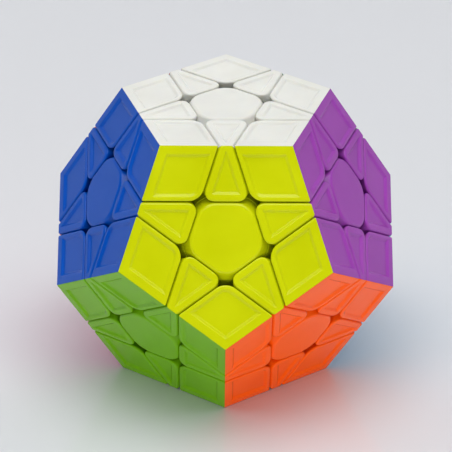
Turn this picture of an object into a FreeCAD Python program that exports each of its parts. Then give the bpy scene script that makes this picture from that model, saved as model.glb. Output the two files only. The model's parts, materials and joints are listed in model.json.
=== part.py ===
"""A dodecahedron twisty puzzle: twelve coloured faces, each with a layer that turns about its centre.

The puzzle stands on one face, +Z is up, and the origin is the centre of the core, where the twelve
turning axes cross. Every piece is drawn once, for the top face, and placed by the rotations that
carry the top face to the others.

Each layer is bounded by one surface of revolution about its own axis, the same for all twelve: a
flat cut outside, a step along the foot sphere, a cone through the foot zone and the stem inside.
A piece that belongs to a layer lies inside that surface and every other piece lies outside it, each
by half of the layer gap, so that every layer can turn.
"""
import FreeCAD, Part
import math
import os
import Sketcher
from FreeCAD import Placement, Rotation, Vector

# Driving dimensions, in millimetres and degrees: name, value and meaning.
SIZES = (
    ("edge_length", 30.0, "outer edge of the dodecahedron"),
    ("edge_strip", 2.7, "distance between two cuts across the middle of an outer edge"),
    ("layer_gap", 0.24, "gap between a layer and its neighbours"),
    ("seam_gap", 0.03, "hairline between the coloured shells of one piece"),
    ("neck_angle", 42.5, "angle from a layer's axis at which its flat cut meets the foot sphere"),
    ("foot_angle", 48.5, "half angle of the cone that bounds a layer in the foot zone"),
    ("foot_thickness", 3.2, "radial thickness of the feet"),
    ("neck_clearance", 0.1, "distance from a corner's neck to the cuts beside it"),
    ("edge_neck_radius", 3.5, "neck between an edge piece and its foot"),
    ("wall", 1.3, "wall of the moulded shells"),
    ("cap_fillet", 5.2, "rounding of the five corners of a centre"),
    ("corner_fillet", 4.0, "rounding of a corner piece's inner ridges"),
    ("edge_fillet", 1.75, "rounding of an edge piece's inner ridges"),
    ("rim_round", 0.45, "rounding where a cut meets an outer face"),
    ("cap_rim_round", 0.9, "rounding round the top of a centre cap"),
    ("ridge_round", 0.35, "rounding along the outer edges"),
    ("recess_depth", 0.5, "depth of the sunk panels"),
    ("recess_floor_round", 0.3, "rounding round the floor of the sunk panels"),
    ("corner_outer_border", 2.1, "border of a corner's panel along the outer edges"),
    ("corner_inner_border", 1.3, "border of a corner's panel along the cuts"),
    ("corner_panel_fillet", 2.3, "rounding of a corner's panel at the inner corner"),
    ("edge_inner_border", 2.0, "border of an edge's panel on the side of the centre"),
    ("edge_side_border", 1.5, "border of an edge's panel along the slanted sides"),
    ("cap_height", 3.0, "height of a centre cap"),
    ("cap_top_wall", 1.4, "thickness of a centre cap's top"),
    ("plug_height", 1.3, "height of the plug that a centre cap snaps on"),
    ("fit_clearance", 0.15, "clearance between pieces that slide or turn on each other"),
    ("stem_wall", 1.5, "wall of a centre base's stem"),
    ("stem_spacing", 0.9, "distance between neighbouring stems where they come closest"),
    ("shelf_thickness", 1.6, "thickness of the shelf under the spring"),
    ("glide_thickness", 1.5, "thickness of the flange that the feet glide on"),
    ("glide_angle", 30.8, "half angle of the flange that the feet glide on"),
    ("core_spacing", 1.6, "radial distance from the core's ball to the stems"),
    ("arm_length", 2.6, "length of a core arm inside its stem"),
    ("arm_clearance", 0.225, "clearance between a core arm and the stem around it"),
    ("arm_end_gap", 0.3, "gap between the end of a core arm and the shelf"),
    ("stem_clearance", 0.3, "clearance between a stem and the layers beside it"),
    ("screw_radius", 1.25, "shank of the axis screws"),
    ("screw_bite", 7.0, "length of screw inside the core"),
    ("screw_head_radius", 2.4, "head of the axis screws"),
    ("screw_head_height", 1.7, "height of the screw head"),
    ("drive_radius", 1.2, "hexagonal socket in the screw head, across its corners, as a radius"),
    ("drive_depth", 1.0, "depth of the hexagonal socket"),
    ("washer_radius", 3.1, "outside of the washer"),
    ("washer_thickness", 0.5, "thickness of the washer"),
    ("spring_radius", 2.4, "middle of the spring's coil"),
    ("spring_wire", 0.3, "radius of the spring's wire"),
    ("spring_length", 7.4, "length of the spring between shelf and washer"),
    ("spring_turns", 6.0, "turns of the spring"),
    ("spring_end_gap", 0.15, "gap between an end turn of the spring and its seat"),
)

# Sizes that follow from the driving ones, as expressions on the sheet or on earlier lines.
DERIVED = (
    ("tilt", "atan(2)", "angle between two neighbouring axes"),
    ("inradius", "sizes.edge_length * sqrt(250 + 110 * sqrt(5)) / 20", "centre to face"),
    ("outer_radius", "sizes.edge_length * sqrt(3) * (1 + sqrt(5)) / 4", "centre to corner point"),
    ("cut_depth", "(sizes.edge_length - sizes.edge_strip) / 2 * sin(72) * sin(tilt)", "layer depth"),
    ("cut_height", "inradius - cut_depth", "centre to a flat cut"),
    ("foot_top", "cut_height / cos(sizes.neck_angle)", "outer radius of the foot zone"),
    ("foot_bottom", "foot_top - sizes.foot_thickness", "inner radius of the foot zone"),
    ("corner_reach", "inradius / outer_radius", "cosine of the angle from a face to its corner point"),
    ("corner_neck_cut", "(foot_top - sizes.layer_gap / 2) * corner_reach - cut_height - sizes.layer_gap / 2",
     "height of a cut below the corner's neck"),
    ("corner_neck_radius", "corner_neck_cut / sqrt(1 - corner_reach ^ 2) - sizes.neck_clearance", "neck"),
    ("cap_seat", "inradius - sizes.cap_height", "height at which a cap sits on its base"),
    ("plug_top", "cap_seat + sizes.plug_height", "top of a centre base's plug"),
    ("stem_radius", "foot_bottom * sin(tilt - sizes.foot_angle) - sizes.stem_clearance", "stem"),
    ("bore_radius", "stem_radius - sizes.stem_wall", "bore that holds the spring"),
    ("stem_bottom", "stem_radius / tan(tilt / 2) + sizes.stem_spacing", "lower end of a stem"),
    ("arm_top", "stem_bottom + sizes.arm_length", "end of a core arm"),
    ("shelf_bottom", "arm_top + sizes.arm_end_gap", "under the shelf"),
    ("shelf_top", "shelf_bottom + sizes.shelf_thickness", "seat of the spring"),
    ("washer_bottom", "shelf_top + sizes.spring_length", "under the washer"),
    ("washer_top", "washer_bottom + sizes.washer_thickness", "under the screw head"),
    ("screw_top", "washer_top + sizes.screw_head_height", "top of the screw"),
    ("arm_radius", "bore_radius - sizes.arm_clearance", "core arm"),
    ("screw_bottom", "arm_top - sizes.screw_bite", "end of the screw"),
    ("core_radius", "stem_bottom - sizes.core_spacing", "ball of the core"),
    ("screw_hole", "sizes.screw_radius + sizes.fit_clearance", "hole through shelf and washer"),
    ("glide_top", "foot_bottom - sizes.fit_clearance", "outside of the flange under the feet"),
    ("glide_bottom", "glide_top - sizes.glide_thickness", "inside of that flange"),
    ("spring_start", "shelf_top + sizes.spring_wire + sizes.spring_end_gap", "middle of the lowest turn"),
    ("spring_end", "washer_bottom - sizes.spring_wire - sizes.spring_end_gap", "middle of the top turn"),
    ("spring_pitch", "(spring_end - spring_start) / sizes.spring_turns", "pitch"),
)

# Face colours with the heading of each tilted axis, in degrees about +Z.
UPPER_RING = {"yellow": -90, "purple": -18, "dark_green": 54, "red": 126, "blue": 198}
LOWER_RING = {"lime": -126, "orange": -54, "light_blue": 18, "cream": 90, "pink": 162}
TURNING_LAYERS = ("white", "lime", "light_blue")
SIDES = 5
SIDE_ANGLE = 360 / SIDES

# The axis of the top face, and the difference below which two lengths are the same.
UP = Vector(0, 0, 1)
SAME = 1e-6


def make_sheet(doc):
    """Put the driving dimensions in a spreadsheet, one alias to a row."""
    sheet = doc.addObject("Spreadsheet::Sheet", "sizes")
    for row, (alias, value, note) in enumerate(SIZES, start=1):
        sheet.set("A%d" % row, str(value))
        sheet.set("B%d" % row, note)
        sheet.setAlias("A%d" % row, alias)
    return sheet


def make_derived(doc):
    """Hold the sizes that follow from the sheet, bound to it by expressions."""
    derived = doc.addObject("App::VarSet", "derived")
    for name, expression, note in DERIVED:
        derived.addProperty("App::PropertyFloat", name, "derived", note)
        derived.setExpression(name, expression)
    doc.recompute()
    return derived


class Sizes:
    """Every size by name, driving or derived, for the shapes that Part's functions make."""

    def __init__(self, sheet, derived):
        for alias, _, _ in SIZES:
            setattr(self, alias, sheet.get(alias))
        for name, _, _ in DERIVED:
            setattr(self, name, getattr(derived, name))
        self.reach = 2 * self.outer_radius
        self.half_gap = self.layer_gap / 2
        self.half_seam = self.seam_gap / 2
        self.hollow_floor = self.foot_top + self.half_gap + self.wall


# ---------------------------------------------------------------- directions

def axis(heading, tilt):
    """Unit vector at a heading about +Z and a tilt from +Z, in degrees."""
    return Rotation(UP, heading).multVec(Rotation(Vector(0, 1, 0), tilt).multVec(UP))


def face_axes(tilt):
    """The outward axis of every coloured face."""
    axes = {"white": UP}
    for colour, heading in UPPER_RING.items():
        axes[colour] = axis(heading, tilt)
    for colour, heading in LOWER_RING.items():
        axes[colour] = axis(heading, 180 - tilt)
    axes["grey"] = -UP
    return axes


def flip(first, second):
    """Half turn that swaps two neighbouring faces."""
    return Rotation(first + second, 180)


def face_rotations(axes):
    """One rotation per face that carries the top face, and the whole puzzle, onto it."""
    turns = {"white": Rotation()}
    for colour in UPPER_RING:
        turns[colour] = flip(axes["white"], axes[colour])
    for colour in LOWER_RING:
        above = min(UPPER_RING, key=lambda name: axes[name].getAngle(axes[colour]))
        turns[colour] = flip(axes[above], axes[colour]).multiply(turns[above])
    some_side = next(iter(LOWER_RING))
    turns["grey"] = flip(axes[some_side], axes["grey"]).multiply(turns[some_side])
    return turns


def nearest_face(axes, direction):
    """Colour of the face whose axis lies along a direction."""
    return min(axes, key=lambda name: axes[name].getAngle(direction))


# ---------------------------------------------------------------- solids from planes

def slab(normal, low, high, size):
    """Flat block across a direction, between two heights along it and past every piece."""
    block = Part.makeBox(2 * size.reach, 2 * size.reach, high - low, Vector(-size.reach, -size.reach, low))
    return block.transformed(Placement(Vector(), Rotation(UP, normal)).toMatrix())


def single(shape):
    """The one solid that a boolean leaves."""
    if len(shape.Solids) != 1:
        raise ValueError("expected one solid, found %d" % len(shape.Solids))
    return shape.Solids[0]


def common_of(shapes):
    """Volume that all shapes share."""
    result = shapes[0]
    for shape in shapes[1:]:
        result = result.common(shape)
    return result


def edges_beside(shape, count, axes, size):
    """Edges between two faces of which a number lie on the outer dodecahedron."""
    found = []
    for edge in shape.Edges:
        sides = [face for face in shape.Faces if any(edge.isSame(other) for other in face.Edges)]
        if len(sides) == 2 and sum(on_outside(side, axes, size) for side in sides) == count:
            found.append(edge)
    return found


def on_outside(face, axes, size):
    """Whether a flat face lies on the outer dodecahedron."""
    if face.Surface.TypeId != "Part::GeomPlane":
        return False
    centre = face.CenterOfMass
    return any(abs(centre.dot(normal) - size.inradius) < SAME for normal in axes)


def round_block(block, axes, size, ridge_radius, rim_radius):
    """Round a block's hidden ridges, then the rims of its outer faces, then its outer edges."""
    for count, radius in enumerate((ridge_radius, rim_radius, size.ridge_round)):
        block = block.makeFillet(radius, edges_beside(block, count, axes, size))
    return block


# ---------------------------------------------------------------- feet and hollows

def foot_cone(direction, offset, size):
    """Cone that bounds a layer in the foot zone, shrunk by an offset or grown by a negative one."""
    height = size.outer_radius
    angle = math.radians(size.foot_angle) - offset / size.foot_top
    return Part.makeCone(0, height * math.tan(angle), height, Vector(), direction)


def foot_solid(inside, outside, neck_radius, size):
    """Foot and neck of a piece that is in some layers and out of others."""
    foot = Part.makeSphere(size.foot_top - size.half_gap)
    foot = foot.cut(Part.makeSphere(size.foot_bottom + size.half_gap))
    for direction in inside:
        foot = foot.common(foot_cone(direction, size.half_gap, size))
    for direction in outside:
        foot = foot.cut(foot_cone(direction, -size.half_gap, size))
    middle = sum(inside[1:], inside[0]).normalize()
    start = size.foot_top - size.foot_thickness / 2
    neck = Part.makeCylinder(neck_radius, size.hollow_floor - size.wall / 2 - start, middle * start, middle)
    return foot.fuse(neck)


def hollow(bounds, size):
    """Hollow inside a shell: the space a wall's thickness inside flat bounds, above the foot."""
    space = common_of([slab(normal, low, high, size) for normal, low, high in bounds])
    return space.cut(Part.makeSphere(size.hollow_floor))


def panel(corners, size, fillet_at=None, fillet=0.0):
    """Sunk panel cut into the top face, with a soft edge round its floor."""
    above = size.inradius + size.recess_depth
    floor = size.inradius - size.recess_depth
    outline = Part.makePolygon([Vector(x, y, above) for x, y in corners + corners[:1]])
    block = Part.Face(outline).extrude(Vector(0, 0, floor - above))
    if fillet_at is not None:
        x, y = corners[fillet_at]
        upright = [edge for edge in block.Edges
                   if math.hypot(edge.CenterOfMass.x - x, edge.CenterOfMass.y - y) < SAME]
        block = block.makeFillet(fillet, upright)
    border = [edge for edge in block.Edges if abs(edge.CenterOfMass.z - floor) < SAME]
    return block.makeFillet(size.recess_floor_round, border)


def line_on_top(direction, height, size):
    """Where the plane at a height along a direction meets the top face: unit normal and distance."""
    across = math.hypot(direction.x, direction.y)
    distance = (height - direction.z * size.inradius) / across
    return Vector(direction.x / across, direction.y / across, 0), distance


def meet(first, second):
    """Point of the top face where two of its lines meet."""
    (n1, d1), (n2, d2) = first, second
    scale = n1.x * n2.y - n1.y * n2.x
    return ((d1 * n2.y - d2 * n1.y) / scale, (d2 * n1.x - d1 * n2.x) / scale)


def moved(line, distance):
    """A line of the top face moved along its normal."""
    return line[0], line[1] + distance


# ---------------------------------------------------------------- moulded shells

def corner_shell(top, left, right, size):
    """Top-coloured third of the corner piece between three faces, with its third of the foot."""
    axes = (top, left, right)
    low = size.cut_height + size.half_gap
    block = single(common_of([slab(normal, low, size.inradius, size) for normal in axes]))
    block = round_block(block, axes, size, size.corner_fillet, size.rim_round)
    block = block.cut(Part.makeSphere(size.foot_top + size.half_gap))
    piece = block.fuse(foot_solid(axes, (), size.corner_neck_radius, size))
    third = common_of([slab(top - side, size.half_seam, size.reach, size) for side in (left, right)])
    piece = piece.common(third)
    bounds = [(top, 0, size.inradius - size.wall - size.recess_depth)]
    bounds += [(side, low + size.wall, size.inradius - size.wall) for side in (left, right)]
    piece = piece.cut(hollow(bounds, size))
    outer = [moved(line_on_top(side, size.inradius, size), -size.corner_outer_border)
             for side in (left, right)]
    cuts = [moved(line_on_top(side, low, size), size.corner_inner_border) for side in (left, right)]
    corners = [meet(outer[0], outer[1]), meet(outer[0], cuts[1]), meet(cuts[0], cuts[1]),
               meet(cuts[0], outer[1])]
    return single(piece.cut(panel(corners, size, 2, size.corner_panel_fillet)).removeSplitter())


def edge_shell(top, side, ends, size):
    """Top-coloured half of the edge piece between two faces, with its half of the foot."""
    axes = (top, side)
    low = size.cut_height + size.half_gap
    high = size.cut_height - size.half_gap
    slabs = [slab(normal, low, size.inradius, size) for normal in axes]
    slabs += [slab(normal, -size.reach, high, size) for normal in ends]
    block = single(common_of(slabs))
    block = round_block(block, axes, size, size.edge_fillet, size.rim_round)
    block = block.cut(Part.makeSphere(size.foot_top + size.half_gap))
    piece = block.fuse(foot_solid(axes, ends, size.edge_neck_radius, size))
    piece = piece.common(slab(top - side, size.half_seam, size.reach, size))
    bounds = [(top, 0, size.inradius - size.wall - size.recess_depth), (side, low + size.wall, size.reach)]
    bounds += [(normal, -size.reach, high - size.wall) for normal in ends]
    piece = piece.cut(hollow(bounds, size))
    inner = moved(line_on_top(side, low, size), size.edge_inner_border)
    slants = [moved(line_on_top(end, high, size), -size.edge_side_border) for end in ends]
    corners = [meet(slants[0], slants[1]), meet(slants[0], inner), meet(inner, slants[1])]
    return single(piece.cut(panel(corners, size)).removeSplitter())


def centre_block(sides, inset, top, size):
    """Five-sided block of a centre up to a height, with its sides moved in by an inset."""
    slabs = [slab(UP, size.foot_bottom, top, size)]
    slabs += [slab(side, -size.reach, size.cut_height - size.half_gap - inset, size) for side in sides]
    block = single(common_of(slabs))
    ridges = [edge for edge in block.Edges if abs(edge.Vertexes[0].Z - edge.Vertexes[-1].Z) > SAME]
    return block.makeFillet(size.cap_fillet - inset, ridges)


def cap_shell(sides, size):
    """Coloured cap of a centre, hollow underneath where it fits over the base's plug."""
    block = centre_block(sides, 0, size.inradius, size)
    rim = [edge for edge in block.Edges
           if all(abs(vertex.Z - size.inradius) < SAME for vertex in edge.Vertexes)]
    block = block.makeFillet(size.cap_rim_round, rim)
    above = slab(UP, size.cap_seat, size.inradius, size)
    hole = centre_block(sides, size.wall, size.inradius - size.cap_top_wall, size)
    return single(block.common(above).cut(hole))


def base_plate(sides, size):
    """Plate of a centre base: it holds down the edges' feet and carries the cap."""
    block = centre_block(sides, 0, size.cap_seat, size)
    block = block.cut(Part.makeSphere(size.foot_top + size.half_gap))
    bore = Part.makeCylinder(size.bore_radius, size.outer_radius)
    return single(block.cut(bore))


# ---------------------------------------------------------------- parametric pieces

def profile_sketch(body, name, points):
    """Closed outline on the body's XZ plane; each corner is a pair of expressions."""
    sketch = body.newObject("Sketcher::SketchObject", name)
    plane = next(item for item in body.Origin.OriginFeatures if item.Role == "XZ_Plane")
    sketch.AttachmentSupport = [(plane, "")]
    sketch.MapMode = "FlatFace"
    values = [tuple(body.evalExpression(text) for text in point) for point in points]
    count = len(points)
    for index, start in enumerate(values):
        end = values[(index + 1) % count]
        sketch.addGeometry(Part.LineSegment(Vector(start[0], start[1], 0), Vector(end[0], end[1], 0)), False)
    for index in range(count):
        sketch.addConstraint(Sketcher.Constraint("Coincident", index, 2, (index + 1) % count, 1))
    for index, (point, value) in enumerate(zip(points, values)):
        for kind, text, number in zip(("DistanceX", "DistanceY"), point, value):
            if text == "0":
                sketch.addConstraint(Sketcher.Constraint("PointOnObject", index, 1, -2))
                continue
            constraint = sketch.addConstraint(Sketcher.Constraint(kind, -1, 1, index, 1, number))
            sketch.setExpression("Constraints[%d]" % constraint, text)
    return sketch


def turned_body(doc, name, points):
    """Body made by turning an outline about Z."""
    body = doc.addObject("PartDesign::Body", name)
    sketch = profile_sketch(body, name + "_outline", points)
    turned = body.newObject("PartDesign::Revolution", name + "_turned")
    turned.Profile = sketch
    turned.ReferenceAxis = (sketch, ["V_Axis"])
    turned.Angle = 360
    body.Tip = turned
    doc.recompute()
    return body


def screw_body(doc):
    """Axis screw, its socket cut from the head downwards."""
    body = turned_body(doc, "axis_screw", (
        ("0", "derived.screw_bottom"),
        ("sizes.screw_radius", "derived.screw_bottom"),
        ("sizes.screw_radius", "derived.washer_top"),
        ("sizes.screw_head_radius", "derived.washer_top"),
        ("sizes.screw_head_radius", "derived.screw_top"),
        ("0", "derived.screw_top")))
    socket = doc.addObject("Part::Prism", "screw_socket")
    socket.Polygon = 6
    socket.setExpression("Circumradius", "sizes.drive_radius")
    socket.setExpression("Height", "sizes.drive_depth")
    socket.setExpression("Placement.Base.z", "derived.screw_top - sizes.drive_depth")
    return boolean(doc, "Part::Cut", "socket_screw", body, socket)


def boolean(doc, kind, name, base, tool):
    """Cut of one object from another, or what they share."""
    result = doc.addObject(kind, name)
    result.Base = base
    result.Tool = tool
    return result


def washer_body(doc):
    """Flat washer between spring and screw head."""
    return turned_body(doc, "axis_washer", (
        ("derived.screw_hole", "derived.washer_bottom"),
        ("sizes.washer_radius", "derived.washer_bottom"),
        ("sizes.washer_radius", "derived.washer_top"),
        ("derived.screw_hole", "derived.washer_top")))


def spring_sweep(doc):
    """Compression spring: a wire swept along a helix between shelf and washer."""
    path = doc.addObject("Part::Helix", "spring_path")
    path.setExpression("Radius", "sizes.spring_radius")
    path.setExpression("Pitch", "derived.spring_pitch")
    path.setExpression("Height", "derived.spring_end - derived.spring_start")
    path.setExpression("Placement.Base.z", "derived.spring_start")
    wire = doc.addObject("Part::Circle", "spring_wire_section")
    wire.setExpression("Radius", "sizes.spring_wire")
    wire.Placement = Placement(Vector(), Rotation(Vector(1, 0, 0), 90))
    wire.setExpression("Placement.Base.x", "sizes.spring_radius")
    wire.setExpression("Placement.Base.z", "derived.spring_start")
    spring = doc.addObject("Part::Sweep", "axis_spring")
    spring.Sections = [wire]
    spring.Spine = (path, [])
    spring.Solid = True
    spring.Frenet = True
    return spring


def stem_body(doc):
    """Stem of a centre base: a tube with the spring's shelf inside and the cap's plug on top."""
    return turned_body(doc, "base_stem", (
        ("derived.bore_radius", "derived.stem_bottom"),
        ("derived.stem_radius", "derived.stem_bottom"),
        ("derived.stem_radius", "derived.plug_top"),
        ("derived.bore_radius", "derived.plug_top"),
        ("derived.bore_radius", "derived.shelf_top"),
        ("derived.screw_hole", "derived.shelf_top"),
        ("derived.screw_hole", "derived.shelf_bottom"),
        ("derived.bore_radius", "derived.shelf_bottom")))


def glide_flange(doc):
    """Flange under the feet: the part of a spherical shell inside a cone, with the stem's bore."""
    outer = doc.addObject("Part::Sphere", "glide_outside")
    outer.setExpression("Radius", "derived.glide_top")
    inner = doc.addObject("Part::Sphere", "glide_inside")
    inner.setExpression("Radius", "derived.glide_bottom")
    shell = boolean(doc, "Part::Cut", "glide_shell", outer, inner)
    cone = doc.addObject("Part::Cone", "glide_cone")
    cone.Radius1 = 0
    cone.setExpression("Radius2", "derived.outer_radius * tan(sizes.glide_angle)")
    cone.setExpression("Height", "derived.outer_radius")
    sector = boolean(doc, "Part::Common", "glide_sector", shell, cone)
    bore = doc.addObject("Part::Cylinder", "glide_bore")
    bore.setExpression("Radius", "derived.bore_radius")
    bore.setExpression("Height", "derived.outer_radius")
    return boolean(doc, "Part::Cut", "glide_flange", sector, bore)


def centre_base(doc, plate):
    """Base of a centre: stem, gliding flange and plate in one moulding."""
    base = doc.addObject("Part::MultiFuse", "base_moulding")
    base.Shapes = [stem_body(doc), glide_flange(doc), plate]
    base.Refine = True
    return base


def core(doc, axes):
    """Twelve-armed core with a screw hole down each arm."""
    solids = [doc.addObject("Part::Sphere", "core_ball")]
    solids[0].setExpression("Radius", "derived.core_radius")
    holes = []
    for colour, direction in axes.items():
        turn = Rotation(UP, direction)
        arm = doc.addObject("Part::Cylinder", colour + "_arm")
        arm.setExpression("Radius", "derived.arm_radius")
        arm.setExpression("Height", "derived.arm_top")
        arm.Placement = Placement(Vector(), turn)
        solids.append(arm)
        hole = doc.addObject("Part::Cylinder", colour + "_screw_hole")
        hole.setExpression("Radius", "sizes.screw_radius")
        hole.setExpression("Height", "sizes.screw_bite")
        hole.Placement = Placement(direction * doc.derived.screw_bottom, turn)
        holes.append(hole)
    body = doc.addObject("Part::MultiFuse", "core_solid")
    body.Shapes = solids
    drill = doc.addObject("Part::MultiFuse", "core_holes")
    drill.Shapes = holes
    return boolean(doc, "Part::Cut", "core", body, drill)


def fixed_shape(doc, name, shape):
    """Object that holds a shape made with Part's functions."""
    item = doc.addObject("Part::Feature", name)
    item.Shape = shape
    return item


# ---------------------------------------------------------------- assembly

def copy_of(doc, item, rotation):
    """Placed copy of a piece."""
    link = doc.addObject("App::Link", item.Name + "_copy")
    link.LinkedObject = item
    link.Placement = Placement(Vector(), rotation)
    return link


def shell_node(colour, kind, owners):
    """Node of a coloured shell, from its own colour and the faces that share its piece."""
    for layer in TURNING_LAYERS:
        if layer == colour:
            return "%s_%s_shells" % (colour, kind)
        if layer in owners:
            return "%s_shells_in_%s_layer" % (colour, layer)
    return "%s_shells" % colour


def assemble(doc, axes, turns, pieces):
    """Place every copy and list the copies of each node."""
    nodes = {"axis_screws": [], "axis_washers": [], "axis_springs": []}
    for colour, turn in turns.items():
        nodes["%s_centre_cap" % colour] = [copy_of(doc, pieces["cap"], turn)]
        nodes["%s_centre_base" % colour] = [copy_of(doc, pieces["base"], turn)]
        for group, name in (("axis_screws", "screw"), ("axis_washers", "washer"), ("axis_springs", "spring")):
            nodes[group].append(copy_of(doc, pieces[name], turn))
        for step in range(SIDES):
            spun = turn.multiply(Rotation(UP, step * SIDE_ANGLE))
            near, after = (nearest_face(axes, spun.multVec(pieces[side])) for side in ("near", "after"))
            for kind, owners in (("edge", (near,)), ("corner", (near, after))):
                node = shell_node(colour, kind, owners)
                nodes.setdefault(node, []).append(copy_of(doc, pieces[kind], spun))
    return nodes


def make_nodes(doc, nodes):
    """One compound per node."""
    made = []
    for name, copies in nodes.items():
        node = doc.addObject("Part::Compound", name)
        node.Label = name
        node.Links = copies
        made.append(node)
    return made


def check(doc, nodes):
    """Stop if any object failed or any node is empty or invalid."""
    doc.recompute()
    for item in doc.Objects:
        if {"Invalid", "Error"} & set(item.State):
            raise RuntimeError("%s failed: %s" % (item.Name, item.State))
    for node in nodes:
        if node.Shape.isNull() or not node.Shape.isValid() or not node.Shape.Solids:
            raise RuntimeError("%s has no valid shape" % node.Label)


def main():
    """Build the puzzle and write one file per node."""
    doc = FreeCAD.newDocument("dodecahedron_puzzle")
    size = Sizes(make_sheet(doc), make_derived(doc))
    axes = face_axes(size.tilt)
    top, near = axes["white"], axes["yellow"]
    after, before = axes["purple"], axes["blue"]
    sides = [axes[colour] for colour in UPPER_RING]
    pieces = {
        "near": near,
        "after": after,
        "screw": screw_body(doc),
        "washer": washer_body(doc),
        "spring": spring_sweep(doc),
        "cap": fixed_shape(doc, "centre_cap", cap_shell(sides, size)),
        "base": centre_base(doc, fixed_shape(doc, "base_plate", base_plate(sides, size))),
        "edge": fixed_shape(doc, "edge_half", edge_shell(top, near, (after, before), size)),
        "corner": fixed_shape(doc, "corner_third", corner_shell(top, near, after, size)),
    }
    nodes = assemble(doc, axes, face_rotations(axes), pieces)
    made = make_nodes(doc, nodes)
    core_node = core(doc, axes)
    core_node.Label = "core"
    made.append(core_node)
    check(doc, made)
    os.makedirs("parts", exist_ok=True)
    for node in made:
        node.Shape.exportStep(os.path.join("parts", node.Label + ".step"))
        print(node.Label, len(node.Shape.Solids), round(node.Shape.Volume, 1))


main()
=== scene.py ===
"""Looks of the dodecahedron twisty puzzle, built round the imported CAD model.

Every coloured shell and centre cap is remodelled as a rounded mesh, and the shells have sunk panels. One
piece of each kind is made for the top face, in millimetres, and carried to its places by the rotations of
the dodecahedron. Necks and feet are copied from the CAD nodes. The core, screws, washers, springs and
centre bases stay as the CAD made them and only get materials.
"""
import json
import math
import bmesh
import bpy
from mathutils import Matrix, Quaternion, Vector


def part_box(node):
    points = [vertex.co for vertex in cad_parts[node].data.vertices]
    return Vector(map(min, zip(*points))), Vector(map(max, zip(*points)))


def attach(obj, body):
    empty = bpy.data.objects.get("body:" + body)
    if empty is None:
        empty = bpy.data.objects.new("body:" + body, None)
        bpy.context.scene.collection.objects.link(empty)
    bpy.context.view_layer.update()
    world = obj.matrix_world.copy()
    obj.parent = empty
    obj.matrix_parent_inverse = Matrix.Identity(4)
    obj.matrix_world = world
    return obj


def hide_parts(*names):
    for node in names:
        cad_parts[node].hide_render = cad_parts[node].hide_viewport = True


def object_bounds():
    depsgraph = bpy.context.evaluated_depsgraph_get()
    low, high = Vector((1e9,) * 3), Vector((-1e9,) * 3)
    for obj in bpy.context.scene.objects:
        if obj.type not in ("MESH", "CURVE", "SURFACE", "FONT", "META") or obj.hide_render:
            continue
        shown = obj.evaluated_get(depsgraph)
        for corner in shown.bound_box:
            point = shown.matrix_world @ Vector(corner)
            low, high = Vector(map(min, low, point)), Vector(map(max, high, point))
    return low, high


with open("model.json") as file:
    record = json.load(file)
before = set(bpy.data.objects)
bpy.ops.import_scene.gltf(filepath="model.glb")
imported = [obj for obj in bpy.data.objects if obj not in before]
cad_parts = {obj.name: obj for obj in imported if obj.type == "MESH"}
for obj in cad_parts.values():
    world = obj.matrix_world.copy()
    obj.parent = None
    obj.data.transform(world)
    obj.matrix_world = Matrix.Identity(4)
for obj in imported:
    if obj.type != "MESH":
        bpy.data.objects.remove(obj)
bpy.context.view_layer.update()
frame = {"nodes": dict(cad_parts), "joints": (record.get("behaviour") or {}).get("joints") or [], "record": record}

# ---------------------------------------------------------------- sizes, in millimetres unless said
MM = 0.001                # metres
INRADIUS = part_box("grey_centre_cap")[0].z / -MM
EDGE_LENGTH = 20 * INRADIUS / math.sqrt(250 + 110 * math.sqrt(5))
CAP_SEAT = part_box("white_centre_cap")[0].z / MM
TILT = math.atan(2)       # radians between the axes of neighbouring faces
SIDES = 5
EDGE_STRIP = 2.7          # what an edge piece shows of the puzzle's outer edge
LAYER_GAP = 0.24
SEAM_GAP = 0.03           # hairline between the shells of one piece
CUT_HEIGHT = INRADIUS - (EDGE_LENGTH - EDGE_STRIP) / 2 * math.sin(math.tau / SIDES) * math.sin(TILT)
NECK_ANGLE = 42.5         # degrees from a layer's axis to where its flat cut meets the foot sphere
FOOT_TOP = CUT_HEIGHT / math.cos(math.radians(NECK_ANGLE))
BLOCK_SIZE = 6 * INRADIUS

CAP_FILLET = 5.2
CORNER_FILLET = 4.0
EDGE_FILLET = 1.75
RIM_ROUND = 0.45
CAP_RIM_ROUND = 0.9
RIDGE_ROUND = 0.35
SEAT_ROUND = 0.12
RIDGE_SEGMENTS = 10
RIM_SEGMENTS = 5
SEAT_SEGMENTS = 3

PANEL_DEPTH = 0.5
# widths of a panel's border by side and of its sloping wall, and the fillet of its blunt corner
CORNER_PANEL = {"outer": 1.85, "inner": 1.1, "wall": 0.9, "fillet": 2.6}
EDGE_PANEL = {"inner": 1.7, "side": 1.25, "wall": 0.8}
SHARP_FILLET = 0.35       # a panel's other corners
LEAST_FILLET = 0.06
WALL_STEPS = 10
ARC_STEPS = 8
SIDE_STEPS = 6

SAME = 1e-3               # places closer than this are one place
ON_PLANE = 1e-6           # vertices closer than this to a cut lie on it
ALIGNED = 0.99999         # cosine above which two directions are one direction
CRISP = math.radians(40)  # edges sharper than this are shaded as creases

UP = Vector((0, 0, 1))
UPPER_RING = {"yellow": -90, "purple": -18, "dark_green": 54, "red": 126, "blue": 198}
LOWER_RING = {"lime": -126, "orange": -54, "light_blue": 18, "cream": 90, "pink": 162}
TURNING_LAYERS = [joint["name"].removesuffix("_turn") for joint in frame["joints"]]


# ---------------------------------------------------------------- directions
def axis(heading, tilt):
    """Unit vector at a heading about +Z, in degrees, and a tilt from +Z, in radians."""
    angle = math.radians(heading)
    return Vector((math.sin(tilt) * math.cos(angle), math.sin(tilt) * math.sin(angle), math.cos(tilt)))


AXES = {"white": UP}
AXES.update({colour: axis(heading, TILT) for colour, heading in UPPER_RING.items()})
AXES.update({colour: axis(heading, math.pi - TILT) for colour, heading in LOWER_RING.items()})
AXES["grey"] = -UP


def flip(first, second):
    """Half turn that swaps two neighbouring faces."""
    return Quaternion((AXES[first] + AXES[second]).normalized(), math.pi)


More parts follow.
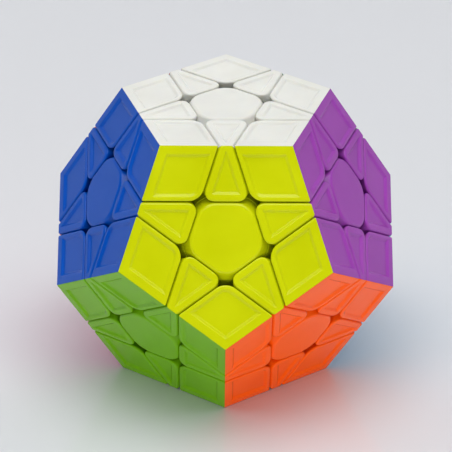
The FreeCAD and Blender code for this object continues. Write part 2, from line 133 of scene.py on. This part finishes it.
def face_turns():
    """One rotation per face that carries the top face, and the whole puzzle, onto it."""
    turns = {"white": Quaternion()}
    for colour in UPPER_RING:
        turns[colour] = flip("white", colour)
    for colour in LOWER_RING:
        above = min(UPPER_RING, key=lambda name: AXES[name].angle(AXES[colour]))
        turns[colour] = flip(above, colour) @ turns[above]
    turns["grey"] = flip("lime", "grey") @ turns["lime"]
    return turns


def nearest_face(direction):
    """Colour of the face whose axis lies along a direction."""
    return min(AXES, key=lambda name: AXES[name].angle(direction))


# ---------------------------------------------------------------- blocks
def block(planes):
    """Closed convex mesh behind a set of planes, each a unit normal and a distance."""
    mesh = bmesh.new()
    bmesh.ops.create_cube(mesh, size=BLOCK_SIZE)
    for normal, distance in planes:
        cut(mesh, normal, distance)
    return mesh


def cut(mesh, normal, distance):
    """Cut away what lies beyond a plane and close the mesh again."""
    parts = mesh.verts[:] + mesh.edges[:] + mesh.faces[:]
    bmesh.ops.bisect_plane(mesh, geom=parts, dist=ON_PLANE, plane_co=normal * distance, plane_no=normal,
                           clear_outer=True)
    bmesh.ops.holes_fill(mesh, edges=[edge for edge in mesh.edges if edge.is_boundary], sides=0)


def interior_angle(edge):
    """Angle inside the solid between an edge's two faces."""
    first, second = edge.link_faces
    return math.pi - first.normal.angle(second.normal)


def rounded(mesh, radius_of, segments):
    """Round edges, each with the radius that radius_of gives, or none."""
    mesh.normal_update()
    layers = mesh.edges.layers.float
    weights = layers.get("bevel_weight_edge") or layers.new("bevel_weight_edge")
    widths = {edge: radius_of(edge) / math.tan(interior_angle(edge) / 2) for edge in mesh.edges}
    widest = max(widths.values())
    for edge, width in widths.items():
        edge[weights] = width / widest
    data = bpy.data.meshes.new("rounding")
    mesh.to_mesh(data)
    mesh.free()
    piece = bpy.data.objects.new("rounding", data)
    bpy.context.scene.collection.objects.link(piece)
    bevel = piece.modifiers.new("round", "BEVEL")
    bevel.limit_method = "WEIGHT"
    bevel.offset_type = "OFFSET"
    bevel.width = widest
    bevel.segments = segments
    bevel.use_clamp_overlap = False
    graph = bpy.context.evaluated_depsgraph_get()
    result = bmesh.new()
    result.from_mesh(piece.evaluated_get(graph).to_mesh())
    layer = result.edges.layers.float.get("bevel_weight_edge")
    if layer is not None:
        result.edges.layers.float.remove(layer)
    bpy.data.objects.remove(piece)
    bpy.data.meshes.remove(data)
    result.normal_update()
    return result


def faces_along(face, direction):
    """Whether a face looks along a direction."""
    return face.normal.dot(direction) > ALIGNED


def is_outer(face, axes):
    """Whether a face lies on the outside of the dodecahedron."""
    centre = face.calc_center_median()
    return any(faces_along(face, normal) and abs(centre.dot(normal) - INRADIUS) < SAME for normal in axes)


def round_ridges(mesh, axes, radius, hidden=()):
    """Round the ridges between the cut sides, apart from those on hidden faces."""
    def radius_of(edge):
        sides = edge.link_faces
        if any(is_outer(side, axes) for side in sides):
            return 0.0
        if any(faces_along(side, normal) for side in sides for normal in hidden):
            return 0.0
        return radius
    return rounded(mesh, radius_of, RIDGE_SEGMENTS)


def round_rims(mesh, axes, radius):
    """Round the rims of the outer faces and the outer edges between them."""
    def radius_of(edge):
        count = sum(is_outer(side, axes) for side in edge.link_faces)
        return (0.0, radius, RIDGE_ROUND)[count]
    return rounded(mesh, radius_of, RIM_SEGMENTS)


def round_seat(mesh):
    """Round the lower rim of a cap, which leaves a dark parting line above its base."""
    def radius_of(edge):
        return SEAT_ROUND if any(faces_along(side, -UP) for side in edge.link_faces) else 0.0
    return rounded(mesh, radius_of, SEAT_SEGMENTS)


# ---------------------------------------------------------------- panels
def line_on_top(direction, height):
    """Where the plane at a height along a direction meets the top face: unit normal and distance."""
    across = math.hypot(direction.x, direction.y)
    return Vector((direction.x, direction.y)) / across, (height - direction.z * INRADIUS) / across


def meet(first, second):
    """Point where two lines of the top face meet."""
    (n1, d1), (n2, d2) = first, second
    scale = n1.x * n2.y - n1.y * n2.x
    return Vector(((d1 * n2.y - d2 * n1.y) / scale, (d2 * n1.x - d1 * n2.x) / scale))


def outline(lines, fillets, inset):
    """Closed outline inside a ring of lines whose normals point outwards, with rounded corners."""
    moved = [(normal, distance - inset) for normal, distance in lines]
    count = len(moved)
    arcs = []
    for index in range(count):
        before, after = moved[index - 1], moved[index]
        fillet = max(fillets[index] - inset, LEAST_FILLET)
        centre = meet((before[0], before[1] - fillet), (after[0], after[1] - fillet))
        turn = before[0].angle_signed(after[0])
        arcs.append([centre + Matrix.Rotation(-turn * step / ARC_STEPS, 2) @ before[0] * fillet
                     for step in range(ARC_STEPS + 1)])
    points = []
    for index, arc in enumerate(arcs):
        following = arcs[(index + 1) % count][0]
        points += arc
        points += [arc[-1].lerp(following, step / SIDE_STEPS) for step in range(1, SIDE_STEPS)]
    return points


def sink_panel(mesh, lines, fillets, wall):
    """Sink a panel into the top face: a soft shoulder, a sloping wall and a fillet round a flat floor."""
    top = max(mesh.faces, key=lambda face: face.calc_center_median().z)
    border = list(top.edges)
    bmesh.ops.delete(mesh, geom=[top], context="FACES_ONLY")
    rings = []
    for step in range(WALL_STEPS + 1):
        share = step / WALL_STEPS
        depth = PANEL_DEPTH * share * share * (3 - 2 * share)
        ring = [mesh.verts.new((point.x, point.y, INRADIUS - depth))
                for point in outline(lines, fillets, wall * share)]
        rings.append(ring)
    loops = [[mesh.edges.new((ring[index - 1], ring[index])) for index in range(len(ring))] for ring in rings]
    for above, below in zip(rings, rings[1:]):
        for index in range(len(above)):
            mesh.faces.new((above[index - 1], above[index], below[index], below[index - 1]))
    bmesh.ops.triangle_fill(mesh, edges=border + loops[0], use_beauty=True, normal=UP)
    mesh.faces.new(rings[-1])
    bmesh.ops.recalc_face_normals(mesh, faces=mesh.faces)


# ---------------------------------------------------------------- shells
TOP, NEAR, AFTER, BEFORE = (AXES[colour] for colour in ("white", "yellow", "purple", "blue"))
LOW = CUT_HEIGHT + LAYER_GAP / 2
HIGH = CUT_HEIGHT - LAYER_GAP / 2


def seam(side):
    """Plane of the hairline between the top colour and a side colour of the same piece."""
    return (side - TOP).normalized(), -SEAM_GAP / 2


def island(mesh, direction):
    """Vertices of the loose part that lies nearest to a direction from the centre."""
    start = max(mesh.verts, key=lambda vert: vert.co.normalized().dot(direction))
    found, waiting = {start}, [start]
    while waiting:
        vert = waiting.pop()
        for edge in vert.link_edges:
            other = edge.other_vert(vert)
            if other not in found:
                found.add(other)
                waiting.append(other)
    return found


def add_foot(mesh, node, middle):
    """Join on what a piece has below its block, its neck and foot, as the CAD made them."""
    foot = bmesh.new()
    foot.from_mesh(frame["nodes"][node].data)
    bmesh.ops.scale(foot, vec=(1 / MM,) * 3, verts=foot.verts)
    bmesh.ops.remove_doubles(foot, verts=foot.verts, dist=SAME)
    keep = island(foot, middle)
    bmesh.ops.delete(foot, geom=[vert for vert in foot.verts if vert not in keep], context="VERTS")
    cut(foot, middle, FOOT_TOP)
    data = bpy.data.meshes.new("foot")
    foot.to_mesh(data)
    foot.free()
    mesh.from_mesh(data)
    bpy.data.meshes.remove(data)


def corner_shell():
    """Third of a corner piece that shows on the top face."""
    axes = (TOP, NEAR, AFTER)
    middle = (TOP + NEAR + AFTER).normalized()
    mesh = block([(normal, INRADIUS) for normal in axes] + [(-normal, -LOW) for normal in axes])
    mesh = round_ridges(mesh, axes, CORNER_FILLET)
    mesh = round_rims(mesh, axes, RIM_ROUND)
    cut(mesh, -middle, -FOOT_TOP)
    outer = [line_on_top(side, INRADIUS) for side in (NEAR, AFTER)]
    inner = [line_on_top(side, LOW) for side in (NEAR, AFTER)]
    lines = [(normal, distance - CORNER_PANEL["outer"]) for normal, distance in outer]
    lines += [(-normal, -distance - CORNER_PANEL["inner"]) for normal, distance in inner]
    fillets = (SHARP_FILLET, SHARP_FILLET, SHARP_FILLET, CORNER_PANEL["fillet"])
    sink_panel(mesh, lines, fillets, CORNER_PANEL["wall"])
    for side in (NEAR, AFTER):
        cut(mesh, *seam(side))
    add_foot(mesh, "white_corner_shells", middle)
    return mesh


def edge_shell():
    """Half of an edge piece that shows on the top face."""
    axes = (TOP, NEAR)
    ends = (AFTER, BEFORE)
    middle = (TOP + NEAR).normalized()
    mesh = block([(normal, INRADIUS) for normal in axes] + [(-normal, -LOW) for normal in axes]
                 + [(normal, HIGH) for normal in ends] + [(-middle, -FOOT_TOP)])
    mesh = round_ridges(mesh, axes, EDGE_FILLET, (-middle,))
    mesh = round_rims(mesh, axes, RIM_ROUND)
    normal, distance = line_on_top(NEAR, LOW)
    lines = [(-normal, -distance - EDGE_PANEL["inner"])]
    for end in ends:
        slant, reach = line_on_top(end, HIGH)
        lines.append((slant, reach - EDGE_PANEL["side"]))
    lines.sort(key=lambda line: math.atan2(line[0].y, line[0].x))
    sink_panel(mesh, lines, (SHARP_FILLET,) * 3, EDGE_PANEL["wall"])
    cut(mesh, *seam(NEAR))
    add_foot(mesh, "white_edge_shells", middle)
    return mesh


def cap_shell():
    """Coloured cap of a centre."""
    sides = [AXES[colour] for colour in UPPER_RING]
    mesh = block([(TOP, INRADIUS), (-TOP, -CAP_SEAT)] + [(side, HIGH) for side in sides])
    mesh = round_ridges(mesh, (TOP,), CAP_FILLET, (-TOP,))
    mesh = round_rims(mesh, (TOP,), CAP_RIM_ROUND)
    return round_seat(mesh)


# ---------------------------------------------------------------- materials
# noises, each its waves to the metre and its detail; reliefs add their depth in metres and their strength
FLOW_MARKS = (90, 4)
HANDLING_HAZE = (240, 6)
ORANGE_PEEL = (450, 2, 0.00002, 0.05)
FINE_GRAIN = (2600, 3, 0.000005, 0.04)
STAINS = (700, 5)
PATCHY_POLISH = (1500, 6)
TOOL_MARKS = (6000, 2, 0.00001, 0.3)

MOULDED_ROUGHNESS = (0.17, 0.27)
PLASTIC = {"IOR": 1.5, "Specular IOR Level": 0.26, "Subsurface Weight": 0.25,
           "Subsurface Radius": (1.0, 0.75, 0.45), "Subsurface Scale": 0.0006}

COLOURS = {
    "white": (0.77, 0.77, 0.72), "yellow": (0.55, 0.60, 0.0), "purple": (0.32, 0.056, 0.40),
    "dark_green": (0.006, 0.16, 0.045), "red": (0.50, 0.010, 0.012), "blue": (0.0, 0.072, 0.43),
    "lime": (0.145, 0.375, 0.002), "orange": (1.0, 0.11, 0.002), "light_blue": (0.06, 0.42, 0.75),
    "cream": (0.78, 0.64, 0.32), "pink": (0.92, 0.14, 0.34), "grey": (0.15, 0.155, 0.17),
}


def noise(tree, scale, detail):
    """Noise texture in the object's own coordinates, with its scale in waves to the metre."""
    place = tree.nodes.new("ShaderNodeTexCoord")
    texture = tree.nodes.new("ShaderNodeTexNoise")
    texture.inputs["Scale"].default_value = scale
    texture.inputs["Detail"].default_value = detail
    tree.links.new(place.outputs["Object"], texture.inputs["Vector"])
    return texture.outputs["Fac"]


def between(tree, factor, low, high):
    """Value that runs from low to high over the middle of a noise."""
    spread = tree.nodes.new("ShaderNodeMapRange")
    for name, value in (("From Min", 0.3), ("From Max", 0.7), ("To Min", low), ("To Max", high)):
        spread.inputs[name].default_value = value
    tree.links.new(factor, spread.inputs["Value"])
    return spread.outputs["Result"]


def tinted(tree, factor, first, second):
    """Colour that a noise blends from first to second."""
    mix = tree.nodes.new("ShaderNodeMix")
    mix.data_type = "RGBA"
    mix.inputs["A"].default_value = (*first, 1)
    mix.inputs["B"].default_value = (*second, 1)
    tree.links.new(between(tree, factor, 0.0, 1.0), mix.inputs["Factor"])
    return mix.outputs["Result"]


def relief(tree, *layers):
    """Chain of bumps, each a noise with its depth and strength."""
    normal = None
    for scale, detail, depth, strength in layers:
        bump = tree.nodes.new("ShaderNodeBump")
        bump.inputs["Strength"].default_value = strength
        bump.inputs["Distance"].default_value = depth
        tree.links.new(noise(tree, scale, detail), bump.inputs["Height"])
        if normal is not None:
            tree.links.new(normal, bump.inputs["Normal"])
        normal = bump.outputs["Normal"]
    return normal


def new_material(name):
    """Material with nodes, its node tree and its shader."""
    material = bpy.data.materials.new(name)
    material.use_nodes = True
    return material, material.node_tree, material.node_tree.nodes["Principled BSDF"]


def plastic(name, colour, roughness=MOULDED_ROUGHNESS):
    """Moulded plastic: flow marks in its colour, haze from handling, orange peel and a fine grain."""
    material, tree, shader = new_material(name)
    pale = [min(1.0, 1.03 * value + 0.002) for value in colour]
    deep = [0.95 * value for value in colour]
    tree.links.new(tinted(tree, noise(tree, *FLOW_MARKS), deep, pale), shader.inputs["Base Color"])
    tree.links.new(between(tree, noise(tree, *HANDLING_HAZE), *roughness), shader.inputs["Roughness"])
    tree.links.new(relief(tree, ORANGE_PEEL, FINE_GRAIN), shader.inputs["Normal"])
    for socket, value in PLASTIC.items():
        shader.inputs[socket].default_value = value
    return material


def steel(name, colour, roughness):
    """Machined steel: patchy polish, fine tool marks and a few darker stains."""
    material, tree, shader = new_material(name)
    dark = [0.72 * value for value in colour]
    tree.links.new(tinted(tree, noise(tree, *STAINS), dark, colour), shader.inputs["Base Color"])
    tree.links.new(between(tree, noise(tree, *PATCHY_POLISH), *roughness), shader.inputs["Roughness"])
    tree.links.new(relief(tree, TOOL_MARKS), shader.inputs["Normal"])
    shader.inputs["Metallic"].default_value = 1.0
    return material


# ---------------------------------------------------------------- assembly
def finish_mesh(mesh, name, material):
    """Object made from a mesh in millimetres, smooth across everything but its crisp edges."""
    for face in mesh.faces:
        face.smooth = True
    for edge in mesh.edges:
        edge.smooth = len(edge.link_faces) == 2 and edge.calc_face_angle() < CRISP
    mesh.transform(Matrix.Scale(MM, 4))
    data = bpy.data.meshes.new(name)
    mesh.to_mesh(data)
    mesh.free()
    data.materials.append(material)
    piece = bpy.data.objects.new(name, data)
    bpy.context.scene.collection.objects.link(piece)
    weigh = piece.modifiers.new("normals", "WEIGHTED_NORMAL")
    weigh.keep_sharp = True
    return piece


def shell_node(colour, kind, owners):
    """CAD node of a coloured shell, from its own colour and the faces that share its piece."""
    for layer in TURNING_LAYERS:
        if layer == colour:
            return "%s_%s_shells" % (colour, kind)
        if layer in owners:
            return "%s_shells_in_%s_layer" % (colour, layer)
    return "%s_shells" % colour


def places():
    """Where the shells and caps go: for each CAD node, a list of kinds and rotations."""
    found = {}
    for colour, turn in face_turns().items():
        found["%s_centre_cap" % colour] = [("cap", turn)]
        for step in range(SIDES):
            spun = turn @ Quaternion(UP, math.tau * step / SIDES)
            near, after = nearest_face(spun @ NEAR), nearest_face(spun @ AFTER)
            for kind, owners in (("edge", (near,)), ("corner", (near, after))):
                found.setdefault(shell_node(colour, kind, owners), []).append((kind, spun))
    return found


def colour_of(node):
    """Colour that a node's name starts with."""
    return max((colour for colour in COLOURS if node.startswith(colour + "_")), key=len)


def body_of(node):
    """CAD body that a node belongs to."""
    return next(body for body, members in frame["record"]["behaviour"]["bodies"].items() if node in members)


def assemble():
    """Make every visible piece and let it ride on its body."""
    kinds = {"cap": cap_shell(), "edge": edge_shell(), "corner": corner_shell()}
    moulds = {}
    for kind, mesh in kinds.items():
        moulds[kind] = bpy.data.meshes.new(kind)
        mesh.to_mesh(moulds[kind])
        mesh.free()
    finishes = {colour: plastic(colour + "_plastic", value) for colour, value in COLOURS.items()}
    for node, copies in places().items():
        whole = bmesh.new()
        for kind, turn in copies:
            single = moulds[kind].copy()
            single.transform(turn.to_matrix().to_4x4())
            whole.from_mesh(single)
            bpy.data.meshes.remove(single)
        colour = colour_of(node)
        piece = finish_mesh(whole, node + "_detailed", finishes[colour])
        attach(piece, body_of(node))
        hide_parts(node)
    carried = {colour + "_centre_base": finishes[colour] for colour in COLOURS}
    bright = steel("steel", (0.62, 0.62, 0.60), (0.18, 0.34))
    carried["core"] = plastic("core_plastic", (0.055, 0.055, 0.06), (0.34, 0.5))
    carried["axis_screws"] = carried["axis_washers"] = bright
    carried["axis_springs"] = steel("spring_steel", (0.42, 0.40, 0.37), (0.24, 0.42))
    for node, finish in carried.items():
        frame["nodes"][node].material_slots[0].material = finish


assemble()


# ---------------------------------------------------------------- stage, in metres, watts and degrees
FLOOR_REACH = 2.0         # half its width, and how far it comes forward
WALL_START = 0.5          # where the floor starts to bend up behind the object
WALL_BEND = 0.5
WALL_TOP = 1.6
BEND_STEPS = 15
PAPER_COLOUR = (0.69, 0.70, 0.725)
PAPER_ROUGHNESS = 0.16

TOP_SOFTBOX = {"place": (0.0, -0.1, 1.0), "size": (1.2, 1.0), "power": 11.5}
FRONT_FILL = {"place": (0.0, -1.2, 0.02), "size": (1.6, 0.1), "power": 9.5}
LEFT_FILL = {"place": (-1.2, 0.1, 0.25), "size": (0.5, 0.8), "power": 3}
RIGHT_FILL = {"place": (1.2, 0.1, 0.25), "size": (0.5, 0.8), "power": 3}
ROOM_COLOUR = (0.80, 0.82, 0.85)
ROOM_STRENGTH = 0.12

AZIMUTH = -0.289
ELEVATION = 29.511
ROLL = 0.404
DISTANCE = 0.76674
TARGET = Vector((0.000159, 0.0, 0.000943))
SENSOR = 36               # millimetres
LENS = 259.697            # millimetres
CLIP_START = 0.01


def paper():
    """Smooth pale paper of the backdrop."""
    material, _, shader = new_material("paper")
    shader.inputs["Base Color"].default_value = (*PAPER_COLOUR, 1)
    shader.inputs["Roughness"].default_value = PAPER_ROUGHNESS
    return material


def make_stage():
    """Pale seamless floor and backdrop, on the level that the puzzle rests on."""
    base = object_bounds()[0].z
    mesh = bmesh.new()
    profile = [(-FLOOR_REACH, 0.0), (WALL_START, 0.0)]
    for step in range(1, BEND_STEPS + 1):
        angle = math.pi / 2 * step / BEND_STEPS
        profile.append((WALL_START + WALL_BEND * math.sin(angle), WALL_BEND - WALL_BEND * math.cos(angle)))
    profile.append((WALL_START + WALL_BEND, WALL_TOP))
    rows = [[mesh.verts.new((x, y, base + z)) for x in (-FLOOR_REACH, FLOOR_REACH)] for y, z in profile]
    for lower, upper in zip(rows, rows[1:]):
        mesh.faces.new((lower[0], lower[1], upper[1], upper[0])).smooth = True
    data = bpy.data.meshes.new("sweep")
    mesh.to_mesh(data)
    mesh.free()
    data.materials.append(paper())
    sweep = bpy.data.objects.new("sweep", data)
    bpy.context.scene.collection.objects.link(sweep)


def area_light(name, place, size, power):
    """Rectangular light that points at the middle of the puzzle."""
    light = bpy.data.lights.new(name, "AREA")
    light.shape = "RECTANGLE"
    light.size, light.size_y = size
    light.energy = power
    lamp = bpy.data.objects.new(name, light)
    lamp.location = place
    lamp.rotation_mode = "QUATERNION"
    lamp.rotation_quaternion = (-Vector(place)).to_track_quat("-Z", "Y")
    bpy.context.scene.collection.objects.link(lamp)
    return lamp


def make_lights():
    """Softbox overhead, fills that leave no reflection, and a faint even room light."""
    area_light("top_softbox", **TOP_SOFTBOX)
    for name, fill in (("front_fill", FRONT_FILL), ("left_fill", LEFT_FILL), ("right_fill", RIGHT_FILL)):
        area_light(name, **fill).visible_glossy = False
    world = bpy.data.worlds.new("room")
    world.use_nodes = True
    background = world.node_tree.nodes["Background"]
    background.inputs["Color"].default_value = (*ROOM_COLOUR, 1)
    background.inputs["Strength"].default_value = ROOM_STRENGTH
    bpy.context.scene.world = world
    bpy.context.scene.view_settings.view_transform = "Standard"


def make_camera():
    """Camera at the photograph's viewing angle."""
    azimuth, elevation, roll = (math.radians(value) for value in (AZIMUTH, ELEVATION, ROLL))
    back = Vector((math.sin(azimuth) * math.cos(elevation), -math.cos(azimuth) * math.cos(elevation),
                   math.sin(elevation)))
    data = bpy.data.cameras.new("camera")
    data.sensor_width = SENSOR
    data.lens = LENS
    data.clip_start = CLIP_START
    camera = bpy.data.objects.new("camera", data)
    camera.location = TARGET + back * DISTANCE
    camera.rotation_mode = "QUATERNION"
    camera.rotation_quaternion = (-back).to_track_quat("-Z", "Y") @ Quaternion(UP, roll)
    bpy.context.scene.collection.objects.link(camera)
    bpy.context.scene.camera = camera


make_stage()
make_lights()
make_camera()
